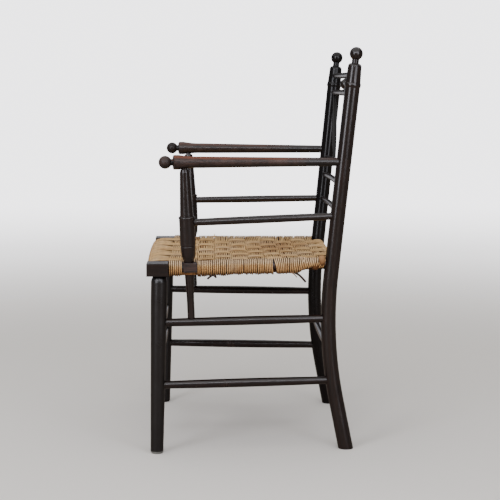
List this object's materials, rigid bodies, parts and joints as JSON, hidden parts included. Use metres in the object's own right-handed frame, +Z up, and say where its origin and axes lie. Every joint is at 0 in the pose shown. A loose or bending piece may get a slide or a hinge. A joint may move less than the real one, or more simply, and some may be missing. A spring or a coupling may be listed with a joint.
{
  "type": "turned armchair with corded seat",
  "caption": "Black turned-wood armchair with ball finials, slim rails and stretchers, open arms on long balusters and a woven cord seat.",
  "frame": {"origin": "centre of the footprint box on the floor", "axes": "+Z up, +X to the sitter's left, +Y towards the back, so the chair faces -Y"},
  "size_m": [0.531, 0.4484, 0.8499],
  "materials": {
    "ebonised_wood": "satin black lacquer",
    "seat_frame_wood": "bare wood under the cord",
    "seat_cord": "twisted seagrass cord in a block weave"
  },
  "bodies": {
    "root": {"back_seat_rail": "seat_frame_wood", "back_stretcher": "ebonised_wood", "corded_seat": "seat_cord", "crest_ball": "ebonised_wood", "front_seat_rail": "seat_frame_wood", "left_arm": "ebonised_wood", "left_arm_rail": "ebonised_wood", "left_arm_support": "ebonised_wood", "left_back_post": "ebonised_wood", "left_back_spindle": "ebonised_wood", "left_corner_block": "ebonised_wood", "left_front_leg": "ebonised_wood", "left_lower_side_stretcher": "ebonised_wood", "left_side_seat_rail": "ebonised_wood", "left_upper_side_stretcher": "ebonised_wood", "lower_back_rail": "ebonised_wood", "lower_crest_rail": "ebonised_wood", "lower_front_stretcher": "ebonised_wood", "middle_back_rail": "ebonised_wood", "right_arm": "ebonised_wood", "right_arm_rail": "ebonised_wood", "right_arm_support": "ebonised_wood", "right_back_post": "ebonised_wood", "right_back_spindle": "ebonised_wood", "right_corner_block": "ebonised_wood", "right_front_leg": "ebonised_wood", "right_lower_side_stretcher": "ebonised_wood", "right_side_seat_rail": "ebonised_wood", "right_upper_side_stretcher": "ebonised_wood", "upper_back_rail": "ebonised_wood", "upper_crest_rail": "ebonised_wood", "upper_front_stretcher": "ebonised_wood"}
  },
  "joints": []
}
